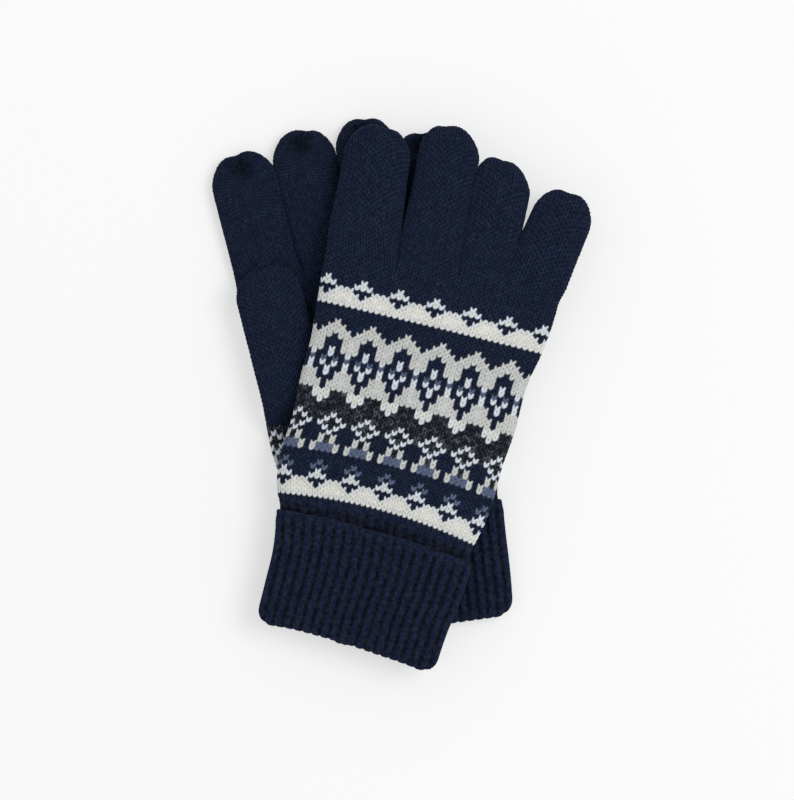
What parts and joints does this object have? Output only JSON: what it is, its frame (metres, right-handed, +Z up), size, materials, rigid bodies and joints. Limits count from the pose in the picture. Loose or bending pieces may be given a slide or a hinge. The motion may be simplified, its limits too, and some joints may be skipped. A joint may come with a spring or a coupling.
{
  "type": "pair of knitted gloves",
  "caption": "Pair of wool gloves laid flat, one palm up under the other, with a stranded geometric band on the hand and a turned-up ribbed cuff.",
  "frame": {"origin": "centre of the footprint of the pile, on the surface it lies on", "axes": "+Z up, out of the surface; the gloves point towards +Y, the left one leaning to -X and the right one to +X"},
  "size_m": [0.1638, 0.2358, 0.0262],
  "materials": {
    "navy_knit": "plain stocking-stitch wool, navy",
    "fair_isle_knit": "stranded wool knit, white, grey, charcoal and denim on navy",
    "navy_rib": "one-by-one ribbed wool, navy",
    "navy_tip": "gathered wool fingertip, navy"
  },
  "bodies": {
    "left_hand": {"left_hand": "fair_isle_knit", "left_wrist_rib": "navy_rib"},
    "left_cuff": {"left_turned_cuff": "navy_rib"},
    "left_index": {"left_index_finger": "navy_knit", "left_index_tip": "navy_tip"},
    "left_middle": {"left_middle_finger": "navy_knit", "left_middle_tip": "navy_tip"},
    "left_ring": {"left_ring_finger": "navy_knit", "left_ring_tip": "navy_tip"},
    "left_little": {"left_little_finger": "navy_knit", "left_little_tip": "navy_tip"},
    "left_thumb": {"left_thumb": "navy_knit", "left_thumb_tip": "navy_tip"},
    "right_hand": {"right_hand": "fair_isle_knit", "right_wrist_rib": "navy_rib"},
    "right_cuff": {"right_turned_cuff": "navy_rib"},
    "right_index": {"right_index_finger": "navy_knit", "right_index_tip": "navy_tip"},
    "right_middle": {"right_middle_finger": "navy_knit", "right_middle_tip": "navy_tip"},
    "right_ring": {"right_ring_finger": "navy_knit", "right_ring_tip": "navy_tip"},
    "right_little": {"right_little_finger": "navy_knit", "right_little_tip": "navy_tip"},
    "right_thumb": {"right_thumb": "navy_knit", "right_thumb_tip": "navy_tip"}
  },
  "joints": [
    {"name": "right_glove_lift", "type": "slide", "parent": "left_hand", "child": "right_hand", "axis": [0, 0, 1], "range_m": [0, 0.15]},
    {"name": "right_index_fold", "type": "hinge", "parent": "right_hand", "child": "right_index", "pos_m": [-0.01536, 0.06498, 0.0214], "axis": [0.9686, -0.2487, 0], "range_deg": [0, 75]},
    {"name": "right_middle_fold", "type": "hinge", "parent": "right_hand", "child": "right_middle", "pos_m": [0.01253, 0.05782, 0.0214], "axis": [0.9686, -0.2487, 0], "range_deg": [0, 75]},
    {"name": "right_ring_fold", "type": "hinge", "parent": "right_hand", "child": "right_ring", "pos_m": [0.03578, 0.05185, 0.0214], "axis": [0.9686, -0.2487, 0], "range_deg": [0, 75]},
    {"name": "right_little_fold", "type": "hinge", "parent": "right_hand", "child": "right_little", "pos_m": [0.05738, 0.0463, 0.0214], "axis": [0.9686, -0.2487, 0], "range_deg": [0, 75]},
    {"name": "right_thumb_swing", "type": "hinge", "parent": "right_hand", "child": "right_thumb", "pos_m": [-0.01557, -0.00982, 0.0131], "axis": [0, 0, -1], "range_deg": [0, 30]},
    {"name": "right_cuff_turn_down", "type": "slide", "parent": "right_hand", "child": "right_cuff", "axis": [-0.2487, -0.9686, 0], "range_m": [0, 0.045]},
    {"name": "left_index_fold", "type": "hinge", "parent": "left_hand", "child": "left_index", "pos_m": [-0.05928, 0.05583, 0.0048], "axis": [0.9778, 0.2096, 0], "range_deg": [0, 75]},
    {"name": "left_middle_spread", "type": "hinge", "parent": "left_hand", "child": "left_middle", "pos_m": [-0.03112, 0.06187, 0.0048], "axis": [0, 0, -1], "range_deg": [0, 5]},
    {"name": "left_ring_spread", "type": "hinge", "parent": "left_hand", "child": "left_ring", "pos_m": [-0.00765, 0.0669, 0.0048], "axis": [0, 0, -1], "range_deg": [0, 12]},
    {"name": "left_little_spread", "type": "hinge", "parent": "left_hand", "child": "left_little", "pos_m": [0.01416, 0.07157, 0.0048], "axis": [0, 0, -1], "range_deg": [0, 20]},
    {"name": "left_thumb_swing", "type": "hinge", "parent": "left_hand", "child": "left_thumb", "pos_m": [-0.04232, -0.01468, 0.0131], "axis": [0, 0, 1], "range_deg": [0, 35]},
    {"name": "left_cuff_turn_down", "type": "slide", "parent": "left_hand", "child": "left_cuff", "axis": [0.2096, -0.9778, 0], "range_m": [0, 0.045]}
  ],
  "couplings": [
    {"joint": "left_ring_spread", "follows": "left_little_spread", "ratio": 0.6},
    {"joint": "left_middle_spread", "follows": "left_little_spread", "ratio": 0.25}
  ]
}
